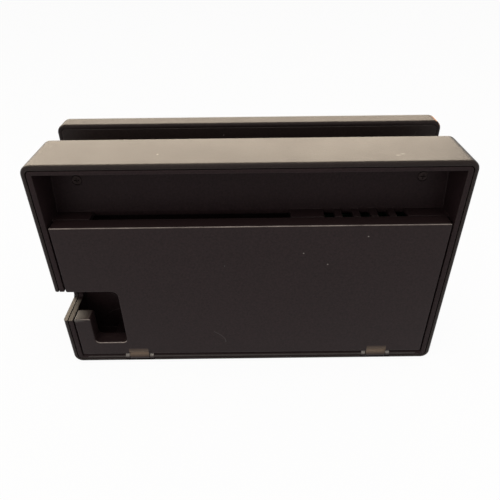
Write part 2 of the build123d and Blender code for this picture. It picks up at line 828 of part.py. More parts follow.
# A flat ribbon cable joins the two boards, in a low socket on the front of each
ribbon_z = (min(side_socket_zs) + max(side_socket_zs)) / 2
ribbon_low = ribbon_z - ribbon_wide / 2
ribbon_ends = (side_board_end_x - ribbon_socket_inset, board_left_x + ribbon_socket_inset)
for name, x in zip(("side_ribbon_socket", "main_ribbon_socket"), ribbon_ends):
    with BuildPart() as ribbon_socket:
        body = rectangle(
            across(board_front_y),
            (x - ribbon_socket_deep / 2, ribbon_low - ribbon_socket_side),
            (x + ribbon_socket_deep / 2, ribbon_low + ribbon_wide + ribbon_socket_side),
        )
        extrude(body, amount=ribbon_socket_tall)
    save(ribbon_socket.part, name)
ribbon_y = board_front_y - ribbon_socket_tall / 2
with BuildPart() as ribbon_cable:
    with BuildSketch(Plane.XY.offset(ribbon_low)):
        with BuildLine():
            start_x = ribbon_ends[0] + ribbon_socket_deep / 2
            end_x = ribbon_ends[1] - ribbon_socket_deep / 2
            middle_x = (start_x + end_x) / 2
            under_y = ribbon_y - ribbon_thick
            ThreePointArc((start_x, ribbon_y), (middle_x, ribbon_y - ribbon_bow), (end_x, ribbon_y))
            Line((end_x, ribbon_y), (end_x, under_y))
            ThreePointArc((end_x, under_y), (middle_x, under_y - ribbon_bow), (start_x, under_y))
            Line((start_x, under_y), (start_x, ribbon_y))
        make_face()
    extrude(amount=ribbon_wide)
save(ribbon_cable.part, "ribbon_cable")

# Chips under a sheet-metal shield on the front of the main board
chip_x = (board_left_x + board_right_x) / 2
shield_half = shield_wide / 2
shield_low = board_low + shield_rise
video_chip_z = shield_low + video_chip_rise
hub_chip_z = shield_low + hub_chip_rise
chip_face_y = board_front_y - chip_thick
shield_inner_y = board_front_y - shield_tall + shield_sheet
with BuildPart() as video_chip:
    chip = rectangle(
        across(board_front_y),
        (chip_x - video_chip_side / 2, video_chip_z - video_chip_side / 2),
        (chip_x + video_chip_side / 2, video_chip_z + video_chip_side / 2),
    )
    extrude(chip, amount=chip_thick)
save(video_chip.part, "video_chip")
with BuildPart() as hub_chip:
    chip = rectangle(
        across(board_front_y),
        (chip_x - hub_chip_side / 2, hub_chip_z - hub_chip_side / 2),
        (chip_x + hub_chip_side / 2, hub_chip_z + hub_chip_side / 2),
    )
    extrude(chip, amount=chip_thick)
save(hub_chip.part, "hub_chip")
with BuildPart() as thermal_pad:
    pad = rectangle(
        across(chip_face_y),
        (chip_x - video_chip_side / 2, video_chip_z - video_chip_side / 2),
        (chip_x + video_chip_side / 2, video_chip_z + video_chip_side / 2),
    )
    extrude(pad, amount=chip_face_y - shield_inner_y)
save(thermal_pad.part, "thermal_pad")
with BuildPart() as board_shield:
    can = rectangle(
        across(board_front_y),
        (chip_x - shield_half, shield_low),
        (chip_x + shield_half, shield_low + shield_long),
        shield_corner_r,
    )
    extrude(can, amount=shield_tall)
    hollow = rectangle(
        across(board_front_y),
        (chip_x - shield_half + shield_sheet, shield_low + shield_sheet),
        (chip_x + shield_half - shield_sheet, shield_low + shield_long - shield_sheet),
        shield_corner_r - shield_sheet,
    )
    extrude(hollow, amount=shield_tall - shield_sheet, mode=Mode.SUBTRACT)
save(board_shield.part, "board_shield")

# Power parts on the rear of the main board, beside the sockets
power_part_x = board_left_x + power_part_inset
power_part_low = board_low + power_part_rise
with BuildPart() as capacitors:
    places = [(power_part_x, power_part_low + n * capacitor_pitch) for n in range(capacitor_count)]
    extrude(discs(across(board_back_y), places, capacitor_r), amount=-capacitor_tall)
save(capacitors.part, "capacitors")
with BuildPart() as inductors:
    for n in range(inductor_count):
        z = power_part_low + n * inductor_pitch
        x = power_part_x + capacitor_r + inductor_side
        body = rectangle(
            across(board_back_y),
            (x - inductor_side / 2, z - inductor_side / 2),
            (x + inductor_side / 2, z + inductor_side / 2),
            inductor_corner_r,
        )
        extrude(body, amount=-inductor_tall)
save(inductors.part, "inductors")

# The plug's bracket: a bent sheet with an ear at each end of the carrier
bracket_low = floor_top + bracket_foot
bracket_top = bracket_low + bracket_sheet
bracket_half = bracket_ear_x + bracket_sheet + bracket_tab
carrier_foot = bracket_top + spring_room
pivot_z = carrier_foot + pivot_rise
with BuildPart() as plug_bracket:
    plate = rectangle(
        Plane.XY.offset(bracket_low),
        (-bracket_half, plug_y - bracket_wide / 2),
        (bracket_half, plug_y + bracket_wide / 2),
        bracket_sheet,
    )
    extrude(plate, amount=bracket_sheet)
    for x in (-bracket_ear_x - bracket_sheet, bracket_ear_x):
        with BuildSketch(Plane.YZ.offset(x)):
            with Locations((plug_y, (bracket_low + pivot_z) / 2)):
                Rectangle(2 * (pivot_r + bracket_sheet), pivot_z - bracket_low)
            with Locations((plug_y, pivot_z)):
                Circle(pivot_r + bracket_sheet)
                Circle(pivot_r + running_fit, mode=Mode.SUBTRACT)
        extrude(amount=bracket_sheet)
    holes = discs(Plane.XY.offset(bracket_low), bracket_screw_places, shank_r + screw_clear)
    extrude(holes, amount=bracket_sheet, mode=Mode.SUBTRACT)
save(plug_bracket.part, "plug_bracket")
bracket_shank = bracket_sheet + bracket_foot
save(screws(Plane.XY.offset(bracket_top), bracket_screw_places, bracket_shank), "bracket_screws")

# The plug's carrier tilts on two pivots, and its neck stands in the opening of the slot floor
carrier_top = carrier_foot + carrier_tall
neck_top = slot_floor + collar_tall
with BuildPart() as plug_carrier:
    block = rectangle(
        Plane.XY.offset(carrier_foot),
        (-carrier_long / 2, plug_y - carrier_wide / 2),
        (carrier_long / 2, plug_y + carrier_wide / 2),
        bracket_sheet,
    )
    extrude(block, amount=carrier_tall)
    with BuildSketch(Plane.XY.offset(carrier_top)):
        with Locations((0, plug_y)):
            SlotOverall(neck_long, neck_wide)
    extrude(amount=neck_top - carrier_top)
    pivot_half = bracket_ear_x + bracket_sheet
    pivot = discs(Plane.YZ.offset(-pivot_half), ((plug_y, pivot_z),), pivot_r)
    extrude(pivot, amount=2 * pivot_half)
    with BuildSketch(Plane.XY.offset(neck_top)):
        with Locations((0, plug_y)):
            SlotOverall(plug_wide, plug_thick)
    extrude(amount=-plug_root, mode=Mode.SUBTRACT)
save(plug_carrier.part, "plug_carrier")

# The charging plug: a seamless metal sleeve open at the top, with contacts inside
plug_top = neck_top + plug_stand
plug_foot = neck_top - plug_root
with BuildPart() as dock_plug:
    with BuildSketch(Plane.XY.offset(plug_foot)):
        with Locations((0, plug_y)):
            SlotOverall(plug_wide, plug_thick)
    extrude(amount=plug_root + plug_stand)
    fillet(dock_plug.faces().sort_by(Axis.Z)[-1].outer_wire().edges(), plug_sheet / 2)
    with BuildSketch(Plane.XY.offset(plug_top)):
        with Locations((0, plug_y)):
            SlotOverall(plug_wide - 2 * plug_sheet, plug_thick - 2 * plug_sheet)
    extrude(amount=-plug_stand, mode=Mode.SUBTRACT)
save(dock_plug.part, "dock_plug")

# A leaf spring between bracket and carrier brings the plug back upright
spring_top = carrier_foot - spring_gap
spring_rise = spring_top - bracket_top - spring_sheet
spring_half = carrier_wide / 2 - spring_sheet
with BuildPart() as plug_spring:
    with BuildSketch(Plane.YZ.offset(-spring_wide / 2)):
        with BuildLine():
            low = bracket_top
            leaf = spring_sheet
            Polyline(
                (plug_y - spring_half, low + spring_rise),
                (plug_y - bracket_wide / 4, low),
                (plug_y + bracket_wide / 4, low),
                (plug_y + spring_half, low + spring_rise),
                (plug_y + spring_half, low + spring_rise + leaf),
                (plug_y + bracket_wide / 4, low + leaf),
                (plug_y - bracket_wide / 4, low + leaf),
                (plug_y - spring_half, low + spring_rise + leaf),
                close=True,
            )
        make_face()
    extrude(amount=spring_wide)
save(plug_spring.part, "plug_spring")


def flat_cable(name, points, bend, flat, wide, thick):
    """A flat cable along straight runs joined by arcs, with its width along the direction flat."""
    with BuildPart() as run:
        with BuildLine() as path:
            FilletPolyline(*points, radius=bend)
        with BuildSketch(Plane(path.line @ 0, x_dir=flat, z_dir=path.line % 0)):
            Rectangle(wide, thick)
        sweep(path=path.line)
    save(run.part, name)


# Flat cable from the carrier to its socket on the main board
cable_start_y = plug_y + carrier_wide / 2 + plug_cable_gap
cable_turn_y = y_slot_wall - wall / 2
plug_cable_z = carrier_foot + plug_cable_rise
with BuildPart() as plug_cable_socket:
    body = rectangle(
        across(board_front_y),
        (plug_socket_x - plug_socket_wide / 2, plug_cable_z - plug_socket_tall / 2),
        (plug_socket_x + plug_socket_wide / 2, plug_cable_z + plug_socket_tall / 2),
    )
    extrude(body, amount=plug_socket_deep)
save(plug_cable_socket.part, "plug_cable_socket")
flat_cable(
    "plug_cable",
    (
        (0, cable_start_y, plug_cable_z),
        (0, cable_turn_y, plug_cable_z),
        (plug_socket_x, cable_turn_y, plug_cable_z),
        (plug_socket_x, board_front_y - plug_socket_deep, plug_cable_z),
    ),
    plug_cable_bend,
    (0, 0, 1),
    plug_cable_wide,
    plug_cable_thick,
)

# Status light: a clear pipe through the front, its small board and the lead to the main board
with BuildPart() as light_pipe:
    extrude(discs(across(cover_inner_y), ((light_x, light_z),), light_pipe_r), amount=front_wall)
    flange = discs(across(cover_inner_y + light_flange_tall), ((light_x, light_z),), light_flange_r)
    extrude(flange, amount=light_flange_tall)
save(light_pipe.part, "light_pipe")
led_board_rear_y = led_board_front_y + led_board_thick
with BuildPart() as led_board:
    plate = rectangle(
        across(led_board_rear_y),
        (light_x - led_board_wide / 2, light_z - led_board_tall / 2),
        (light_x + led_board_wide / 2, light_z + led_board_tall / 2),
    )
    extrude(plate, amount=led_board_thick)
save(led_board.part, "led_board")
with BuildPart() as led_socket:
    body = rectangle(
        across(board_front_y),
        (light_x - led_socket_wide / 2, led_socket_z - led_socket_tall / 2),
        (light_x + led_socket_wide / 2, led_socket_z + led_socket_tall / 2),
    )
    extrude(body, amount=led_socket_deep)
save(led_socket.part, "led_socket")
led_turn_y = board_front_y - led_socket_deep - led_cable_bend
flat_cable(
    "led_cable",
    (
        (light_x, led_board_rear_y, light_z),
        (light_x, led_turn_y, light_z),
        (light_x, led_turn_y, led_socket_z),
        (light_x, board_front_y - led_socket_deep, led_socket_z),
    ),
    led_cable_bend,
    (1, 0, 0),
    led_cable_wide,
    led_cable_thick,
)

# Four rubber feet, pressed into pockets of the base
foot_names = ("front_left_foot", "rear_left_foot", "front_right_foot", "rear_right_foot")
for name, (x, y) in zip(foot_names, foot_places):
    with BuildPart() as foot:
        with BuildSketch(Plane.XY):
            with Locations((x, y)):
                SlotOverall(foot_long, foot_wide)
        extrude(amount=foot_stand + foot_sunk)
    save(foot.part, name)
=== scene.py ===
"""Looks of the television dock: the finish of every piece, in the order in which it is put together."""
import math

import bmesh
import bpy
from mathutils import Matrix, Vector


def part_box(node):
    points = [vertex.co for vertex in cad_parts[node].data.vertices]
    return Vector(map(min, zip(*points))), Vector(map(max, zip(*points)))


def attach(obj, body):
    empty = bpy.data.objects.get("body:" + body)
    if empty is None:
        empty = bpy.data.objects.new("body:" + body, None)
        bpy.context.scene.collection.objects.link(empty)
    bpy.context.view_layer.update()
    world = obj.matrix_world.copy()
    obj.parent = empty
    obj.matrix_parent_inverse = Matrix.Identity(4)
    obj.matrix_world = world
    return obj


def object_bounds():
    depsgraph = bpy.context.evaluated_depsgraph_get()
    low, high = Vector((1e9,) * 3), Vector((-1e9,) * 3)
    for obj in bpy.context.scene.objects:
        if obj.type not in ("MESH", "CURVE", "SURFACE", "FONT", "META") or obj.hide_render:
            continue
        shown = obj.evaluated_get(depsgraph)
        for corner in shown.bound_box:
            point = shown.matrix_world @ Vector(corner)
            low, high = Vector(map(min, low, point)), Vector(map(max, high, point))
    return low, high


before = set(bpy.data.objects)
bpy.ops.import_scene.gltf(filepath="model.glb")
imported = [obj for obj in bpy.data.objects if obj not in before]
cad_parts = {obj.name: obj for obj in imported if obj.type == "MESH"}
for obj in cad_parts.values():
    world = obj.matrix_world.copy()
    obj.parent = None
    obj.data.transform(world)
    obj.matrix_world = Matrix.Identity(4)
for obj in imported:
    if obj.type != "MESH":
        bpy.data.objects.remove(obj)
cad_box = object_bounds()

# The main body is the U-shaped shell: rear box, base and the slot's front wall in one piece.
# It is injection-moulded from near-black plastic, with the fine dull grain of a spark-eroded mould.
# Handling has left it with specks of dust, hair scratches and slightly polished edges.
# A tan highlight is painted on the up-facing faces of a notch near one end.


def add_node(tree, kind, inputs=None, **settings):
    """Adds a shader node, sets its options, and sets its inputs or links them to other nodes' outputs."""
    node = tree.nodes.new(kind)
    for name, value in settings.items():
        setattr(node, name, value)
    for name, value in (inputs or {}).items():
        if isinstance(value, bpy.types.NodeSocket):
            tree.links.new(value, node.inputs[name])
        else:
            node.inputs[name].default_value = value
    return node


def number(tree, operation, first, second=0.0, third=0.0):
    """The result of one arithmetic step on values or sockets."""
    node = add_node(tree, "ShaderNodeMath", {0: first, 1: second, 2: third}, operation=operation)
    return node.outputs[0]


def blend_colour(tree, share, first, second):
    """Two colours mixed by a share."""
    share_input, first_input, second_input = 0, 6, 7
    colour_output = 2
    inputs = {share_input: share, first_input: first, second_input: second}
    return add_node(tree, "ShaderNodeMix", inputs, data_type="RGBA").outputs[colour_output]


def between(tree, value, none, full):
    """0 where a value is at one limit, 1 where it is at the other, and in proportion between them."""
    limits = {"Value": value, "From Min": none, "From Max": full}
    return add_node(tree, "ShaderNodeMapRange", limits).outputs[0]


def start_group(name, inputs, outputs):
    """An empty shader group with named sockets, and the sockets at its two inner ends."""
    tree = bpy.data.node_groups.new(name, "ShaderNodeTree")
    for label, kind, value in inputs:
        tree.interface.new_socket(name=label, in_out="INPUT", socket_type=kind).default_value = value
    for label, kind in outputs:
        tree.interface.new_socket(name=label, in_out="OUTPUT", socket_type=kind)
    inner = tree.nodes.new("NodeGroupInput").outputs
    outer = tree.nodes.new("NodeGroupOutput").inputs
    return tree, inner, outer


def object_place(tree):
    """The place on the piece, in metres, which stays with the piece when it moves."""
    return tree.nodes.new("ShaderNodeTexCoord").outputs["Object"]


def noise(tree, place, scale, detail):
    """Cloudy noise over a place, from 0 to 1, with so many clouds per metre."""
    node = add_node(tree, "ShaderNodeTexNoise", {"Vector": place, "Scale": scale, "Detail": detail})
    return node.outputs["Fac"]


def moulded_grain_group():
    """Dull grain of a moulded surface, with slow drifts of tone and gloss over a few centimetres."""
    tree, given, result = start_group(
        "moulded_grain",
        (
            ("Colour", "NodeSocketColor", (0.01, 0.01, 0.01, 1)),
            ("Tone Drift", "NodeSocketFloat", 0.2),
            ("Roughness", "NodeSocketFloat", 0.45),
            ("Gloss Drift", "NodeSocketFloat", 0.08),
            ("Grains per Metre", "NodeSocketFloat", 3200.0),
        ),
        (("Colour", "NodeSocketColor"), ("Roughness", "NodeSocketFloat"), ("Height", "NodeSocketFloat")),
    )
    pebbles_per_grain = 0.35
    drifts_per_metre = 22.0
    smears_per_metre = 48.0
    noise_middle = 0.5
    grain_tone = 0.5
    pebble_tone = 0.9
    grain_dulling = 0.1
    pebble_dulling = 0.06
    pebble_height = 0.6
    place = object_place(tree)
    grain = noise(tree, place, given["Grains per Metre"], 2.0)
    pebbles_per_metre = number(tree, "MULTIPLY", given["Grains per Metre"], pebbles_per_grain)
    pebble = noise(tree, place, pebbles_per_metre, 1.0)
    drift = number(tree, "SUBTRACT", noise(tree, place, drifts_per_metre, 4.0), noise_middle)
    smear = number(tree, "SUBTRACT", noise(tree, place, smears_per_metre, 5.0), noise_middle)
    fine = number(tree, "SUBTRACT", grain, noise_middle)
    coarse = number(tree, "SUBTRACT", pebble, noise_middle)
    tone = number(tree, "MULTIPLY_ADD", drift, given["Tone Drift"], 1.0)
    tone = number(tree, "MULTIPLY_ADD", fine, grain_tone, tone)
    tone = number(tree, "MULTIPLY_ADD", coarse, pebble_tone, tone)
    scaled = add_node(tree, "ShaderNodeVectorMath", {0: given["Colour"], "Scale": tone}, operation="SCALE")
    tree.links.new(scaled.outputs[0], result["Colour"])
    rough = number(tree, "MULTIPLY_ADD", smear, given["Gloss Drift"], given["Roughness"])
    rough = number(tree, "MULTIPLY_ADD", fine, grain_dulling, rough)
    rough = number(tree, "MULTIPLY_ADD", coarse, pebble_dulling, rough)
    tree.links.new(rough, result["Roughness"])
    height = number(tree, "MULTIPLY_ADD", pebble, pebble_height, grain)
    tree.links.new(height, result["Height"])
    return tree


def handling_marks_group():
    """Sparse dust specks, and hair scratches that show only in patches."""
    tree, given, result = start_group(
        "handling_marks",
        (
            ("Colour", "NodeSocketColor", (0.01, 0.01, 0.01, 1)),
            ("Roughness", "NodeSocketFloat", 0.45),
            ("Dust Colour", "NodeSocketColor", (0.25, 0.24, 0.22, 1)),
            ("Specks per Metre", "NodeSocketFloat", 90.0),
            ("Speck Share", "NodeSocketFloat", 0.16),
            ("Scratch Strength", "NodeSocketFloat", 0.12),
        ),
        (("Colour", "NodeSocketColor"), ("Roughness", "NodeSocketFloat"), ("Height", "NodeSocketFloat")),
    )
    smallest_speck = 0.008
    speck_spread = 0.022
    faintest_speck = 0.25
    strength_spread = 0.6
    warps_per_metre = 30.0
    warp_reach = (0.04, 0.04, 0.04)
    scratches_per_metre = 38.0
    scratch_wide = 0.006
    patches_per_metre = 26.0
    patch_limit = 0.68
    mark_dulling = 0.3
    place = object_place(tree)
    specks = add_node(tree, "ShaderNodeTexVoronoi", {"Vector": place, "Scale": given["Specks per Metre"]})
    chance = add_node(tree, "ShaderNodeSeparateColor", {"Color": specks.outputs["Color"]})
    chosen = number(tree, "LESS_THAN", chance.outputs[0], given["Speck Share"])
    size = number(tree, "MULTIPLY_ADD", chance.outputs[1], speck_spread, smallest_speck)
    inside = number(tree, "LESS_THAN", specks.outputs["Distance"], size)
    speck = number(tree, "MULTIPLY", chosen, inside)
    strength = number(tree, "MULTIPLY_ADD", chance.outputs[2], strength_spread, faintest_speck)
    speck = number(tree, "MULTIPLY", speck, strength)
    warp = add_node(tree, "ShaderNodeTexNoise", {"Vector": place, "Scale": warps_per_metre, "Detail": 1.0})
    bent = add_node(
        tree,
        "ShaderNodeVectorMath",
        {0: warp.outputs["Color"], 1: warp_reach, 2: place},
        operation="MULTIPLY_ADD",
    )
    lines = add_node(
        tree,
        "ShaderNodeTexVoronoi",
        {"Vector": bent.outputs[0], "Scale": scratches_per_metre},
        feature="DISTANCE_TO_EDGE",
    )
    hair = number(tree, "LESS_THAN", lines.outputs["Distance"], scratch_wide)
    patch = number(tree, "GREATER_THAN", noise(tree, place, patches_per_metre, 2.0), patch_limit)
    hair = number(tree, "MULTIPLY", hair, patch)
    hair = number(tree, "MULTIPLY", hair, given["Scratch Strength"])
    mark = number(tree, "MAXIMUM", speck, hair)
    tree.links.new(blend_colour(tree, mark, given["Colour"], given["Dust Colour"]), result["Colour"])
    rough = number(tree, "MULTIPLY_ADD", mark, mark_dulling, given["Roughness"])
    tree.links.new(rough, result["Roughness"])
    tree.links.new(number(tree, "SUBTRACT", speck, hair), result["Height"])
    return tree


def edge_wear_and_highlight_group():
    """Edges rounded off and rubbed paler and smoother, with a painted highlight on bevels that face up and to
    the rear.
    """
    tree, given, result = start_group(
        "edge_wear_and_highlight",
        (
            ("Colour", "NodeSocketColor", (0.01, 0.01, 0.01, 1)),
            ("Roughness", "NodeSocketFloat", 0.45),
            ("Edge Colour", "NodeSocketColor", (0.29, 0.25, 0.225, 1)),
            ("Edge Width", "NodeSocketFloat", 0.0007),
            ("Wear", "NodeSocketFloat", 0.1),
            ("Upper Edge Highlight", "NodeSocketFloat", 0.5),
        ),
        (("Colour", "NodeSocketColor"), ("Roughness", "NodeSocketFloat"), ("Normal", "NodeSocketVector")),
    )
    bend_gain = 6.0
    blotches_per_metre = 130.0
    blotch_spread = 1.4
    least_blotch = 0.1
    rub_polish = -0.12
    rounded = add_node(tree, "ShaderNodeBevel", {"Radius": given["Edge Width"]}, samples=4)
    plain = tree.nodes.new("ShaderNodeNewGeometry").outputs["Normal"]
    turn = add_node(tree, "ShaderNodeVectorMath", {0: rounded.outputs[0], 1: plain}, operation="DOT_PRODUCT")
    bend = number(tree, "SUBTRACT", 1.0, turn.outputs["Value"])
    bend = number(tree, "MULTIPLY", bend, bend_gain)
    bend = number(tree, "MULTIPLY", bend, given["Wear"])
    own_normal = tree.nodes.new("ShaderNodeTexCoord").outputs["Normal"]
    tilt = add_node(tree, "ShaderNodeSeparateXYZ", {0: own_normal}).outputs
    # Bevels facing up and to the rear get a painted highlight, paler where light from above would catch them.
    upward_highlight = given["Upper Edge Highlight"]
    for value, none, full in ((tilt["Z"], 0.25, 0.55), (tilt["Z"], 0.99, 0.9), (tilt["Y"], 0.12, 0.3)):
        upward_highlight = number(tree, "MULTIPLY", upward_highlight, between(tree, value, none, full))
    blotches = noise(tree, object_place(tree), blotches_per_metre, 3.0)
    uneven = number(tree, "MULTIPLY_ADD", blotches, blotch_spread, least_blotch)
    wear_and_highlight = number(tree, "MULTIPLY", number(tree, "ADD", bend, upward_highlight), uneven)
    wear_and_highlight = number(tree, "MINIMUM", wear_and_highlight, 1.0)
    tree.links.new(blend_colour(tree, wear_and_highlight, given["Colour"], given["Edge Colour"]), result["Colour"])
    smooth = number(tree, "MULTIPLY_ADD", wear_and_highlight, rub_polish, given["Roughness"])
    tree.links.new(smooth, result["Roughness"])
    tree.links.new(rounded.outputs[0], result["Normal"])
    return tree


def fleck_and_highlight_group():
    """A pale spot at a given place, as a mask that fades towards its rim; it serves for flecks, scuffs and
    painted highlights.
    """
    tree, given, result = start_group(
        "fleck_and_highlight",
        (("Middle", "NodeSocketVector", (0, 0, 0)), ("Reach", "NodeSocketVector", (0.001, 0.001, 0.001))),
        (("Mask", "NodeSocketFloat"),),
    )
    full_within = 0.4
    offset = add_node(
        tree,
        "ShaderNodeVectorMath",
        {0: object_place(tree), 1: given["Middle"]},
        operation="SUBTRACT",
    )
    share = add_node(
        tree,
        "ShaderNodeVectorMath",
        {0: offset.outputs[0], 1: given["Reach"]},
        operation="DIVIDE",
    )
    far = add_node(tree, "ShaderNodeVectorMath", {0: share.outputs[0]}, operation="LENGTH").outputs["Value"]
    tree.links.new(between(tree, far, 1.0, full_within), result["Mask"])
    return tree


def highlight_patch_group():
    """A painted highlight between two sides, strongest at a crest and fading above and below, as a mask."""
    tree, given, result = start_group(
        "highlight_patch",
        (
            ("Middle X", "NodeSocketFloat", 0.0),
            ("Half Width", "NodeSocketFloat", 0.004),
            ("Top Z", "NodeSocketFloat", 0.01),
            ("Crest Z", "NodeSocketFloat", 0.006),
            ("Foot Z", "NodeSocketFloat", 0.003),
            ("Front Y", "NodeSocketFloat", 0.024),
        ),
        (("Mask", "NodeSocketFloat"),),
    )
    blotches_per_metre = 900.0
    blotch_spread = 0.6
    least_blotch = 0.7
    place = add_node(tree, "ShaderNodeSeparateXYZ", {0: object_place(tree)}).outputs
    off = number(tree, "ABSOLUTE", number(tree, "SUBTRACT", place["X"], given["Middle X"]))
    inside = number(tree, "LESS_THAN", off, given["Half Width"])
    for end in ("Top Z", "Foot Z"):
        inside = number(tree, "MULTIPLY", inside, between(tree, place["Z"], given[end], given["Crest Z"]))
    outer = number(tree, "GREATER_THAN", place["Y"], given["Front Y"])
    blotches = noise(tree, object_place(tree), blotches_per_metre, 2.0)
    uneven = number(tree, "MULTIPLY_ADD", blotches, blotch_spread, least_blotch)
    mask = number(tree, "MULTIPLY", number(tree, "MULTIPLY", inside, outer), uneven)
    tree.links.new(number(tree, "MINIMUM", mask, 1.0), result["Mask"])
    return tree


moulded_grain = moulded_grain_group()
handling_marks = handling_marks_group()
edge_wear_and_highlight = edge_wear_and_highlight_group()
fleck_and_highlight = fleck_and_highlight_group()
highlight_patch = highlight_patch_group()


def start_material(name):
    """A new material with no nodes, and its tree."""
    material = bpy.data.materials.new(name)
    material.use_nodes = True
    material.node_tree.nodes.clear()
    return material, material.node_tree


def finish_material(tree, shader):
    """Wires a shader to the material's output."""
    output = add_node(tree, "ShaderNodeOutputMaterial")
    tree.links.new(shader.outputs[0], output.inputs["Surface"])


def moulded_plastic(
    name, colour, roughness, specular, grain_depth, edge_wear, dust_share, marks_and_highlights=(), ior=1.5, upper_edge_highlight=0.0
):
    """Moulded plastic with grain, dust, scratches, rubbed edges and painted highlights.

    Each mark or painted highlight is the shader group of its mask, with its colour and the group's values.
    """
    speck_height = 0.6
    relief_depth = 0.00005
    material, tree = start_material(name)
    grain = add_node(tree, "ShaderNodeGroup", node_tree=moulded_grain)
    grain.inputs["Colour"].default_value = (*colour, 1)
    grain.inputs["Roughness"].default_value = roughness
    edges = add_node(tree, "ShaderNodeGroup", node_tree=edge_wear_and_highlight)
    edges.inputs["Wear"].default_value = edge_wear
    edges.inputs["Upper Edge Highlight"].default_value = upper_edge_highlight
    dust = add_node(tree, "ShaderNodeGroup", node_tree=handling_marks)
    dust.inputs["Speck Share"].default_value = dust_share
    for label in ("Colour", "Roughness"):
        tree.links.new(grain.outputs[label], edges.inputs[label])
        tree.links.new(edges.outputs[label], dust.inputs[label])
    skin = dust.outputs["Colour"]
    for group, mark_colour, values in marks_and_highlights:
        mark = add_node(tree, "ShaderNodeGroup", values, node_tree=group)
        skin = blend_colour(tree, mark.outputs["Mask"], skin, (*mark_colour, 1))
    relief = number(tree, "MULTIPLY_ADD", dust.outputs["Height"], speck_height, grain.outputs["Height"])
    bump = add_node(
        tree,
        "ShaderNodeBump",
        {
            "Height": relief,
            "Strength": grain_depth,
            "Distance": relief_depth,
            "Normal": edges.outputs["Normal"],
        },
    )
    shader = add_node(
        tree,
        "ShaderNodeBsdfPrincipled",
        {
            "Base Color": skin,
            "Roughness": dust.outputs["Roughness"],
            "IOR": ior,
            "Specular IOR Level": specular,
            "Normal": bump.outputs["Normal"],
        },
    )
    finish_material(tree, shader)
    return material


def dress(material, *names):
    """Gives a finish to pieces of the frame."""
    for name in names:
        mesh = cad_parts[name].data
        mesh.materials.clear()
        mesh.materials.append(material)


top_z = cad_box[1][2]
fleck_colour = (0.13, 0.12, 0.11)
scuff_colour = (0.14, 0.13, 0.12)
top_fleck = {"Middle": (0.0357, 0.0172, top_z), "Reach": (0.0005, 0.0007, 0.001)}
long_scuff = {"Middle": (-0.0567, 0.0206, top_z), "Reach": (0.0013, 0.0003, 0.001)}
near_scuff = {"Middle": (-0.0588, 0.0195, top_z), "Reach": (0.0013, 0.0003, 0.001)}
# Painted highlight: a pale tan on the notch's up-facing faces, where light from above catches them; the main
# body and the rear housing share it.
notch_highlight_colour = (0.115, 0.098, 0.078)
notch_highlight = {
    "Middle X": 0.0845,
    "Half Width": 0.0030,
    "Top Z": 0.0284,
    "Crest Z": 0.0275,
    "Foot Z": 0.0270,
    "Front Y": 0.0120,
}
shell_marks_and_highlights = (
    (highlight_patch, notch_highlight_colour, notch_highlight),
    (fleck_and_highlight, fleck_colour, top_fleck),
    (fleck_and_highlight, scuff_colour, long_scuff),
    (fleck_and_highlight, scuff_colour, near_scuff),
)
shell_plastic = moulded_plastic(
    "shell_plastic",
    colour=(0.0155, 0.0102, 0.0092),
    roughness=0.46,
    specular=0.15,
    grain_depth=0.5,
    edge_wear=0.04,
    dust_share=0.10,
    marks_and_highlights=shell_marks_and_highlights,
)
dress(shell_plastic, "main_body")

# Four feet of black rubber, pressed into pockets under the base.
# They are stamped from sheet, so their faces are dull and a little dusty.


def rubber(name, colour, roughness):
    """Dull rubber or soft plastic with a dusty bloom."""
    bloom = 0.6
    grains_per_metre = 2200.0
    material, tree = start_material(name)
    grain = add_node(tree, "ShaderNodeGroup", node_tree=moulded_grain)
    grain.inputs["Colour"].default_value = (*colour, 1)
    grain.inputs["Roughness"].default_value = roughness
    grain.inputs["Tone Drift"].default_value = bloom
    grain.inputs["Grains per Metre"].default_value = grains_per_metre
    bump = add_node(
        tree,
        "ShaderNodeBump",
        {"Height": grain.outputs["Height"], "Strength": 0.6, "Distance": 0.0001},
    )
    shader = add_node(
        tree,
        "ShaderNodeBsdfPrincipled",
        {
            "Base Color": grain.outputs["Colour"],
            "Roughness": grain.outputs["Roughness"],
            "Specular IOR Level": 0.3,
            "Normal": bump.outputs["Normal"],
        },
    )
    finish_material(tree, shader)
    return material


foot_rubber = rubber("foot_rubber", colour=(0.02, 0.02, 0.02), roughness=0.8)
dress(foot_rubber, "front_left_foot", "front_right_foot", "rear_left_foot", "rear_right_foot")

# The charging plug stands on a carrier that tilts in a bent steel bracket, over a leaf spring.
# Bracket and spring are zinc-plated sheet, the plug's sleeve is polished steel, the carrier black plastic.
# Two small screws hold the bracket to posts in the base.


def rolled_metal_group():
    """Fine rolling lines and faint tarnish of plated sheet."""
    tree, given, result = start_group(
        "rolled_metal",
        (
            ("Colour", "NodeSocketColor", (0.6, 0.6, 0.6, 1)),
            ("Tarnish Colour", "NodeSocketColor", (0.35, 0.33, 0.30, 1)),
            ("Roughness", "NodeSocketFloat", 0.3),
            ("Lines per Metre", "NodeSocketFloat", 900.0),
        ),
        (("Colour", "NodeSocketColor"), ("Roughness", "NodeSocketFloat"), ("Height", "NodeSocketFloat")),
    )
    rolling_stretch = (0.05, 1.0, 1.0)
    stains_per_metre = 160.0
    stain_gain = 1.6
    stain_start = -0.7
    line_dulling = 0.18
    place = object_place(tree)
    drawn = add_node(tree, "ShaderNodeVectorMath", {0: place, 1: rolling_stretch}, operation="MULTIPLY")
    lines = noise(tree, drawn.outputs[0], given["Lines per Metre"], 3.0)
    stains = noise(tree, place, stains_per_metre, 4.0)
    stained = number(tree, "MULTIPLY_ADD", stains, stain_gain, stain_start)
    stained = number(tree, "MAXIMUM", stained, 0.0)
    tree.links.new(blend_colour(tree, stained, given["Colour"], given["Tarnish Colour"]), result["Colour"])
    rough = number(tree, "MULTIPLY_ADD", lines, line_dulling, given["Roughness"])
    tree.links.new(rough, result["Roughness"])
    tree.links.new(lines, result["Height"])
    return tree


rolled_metal = rolled_metal_group()


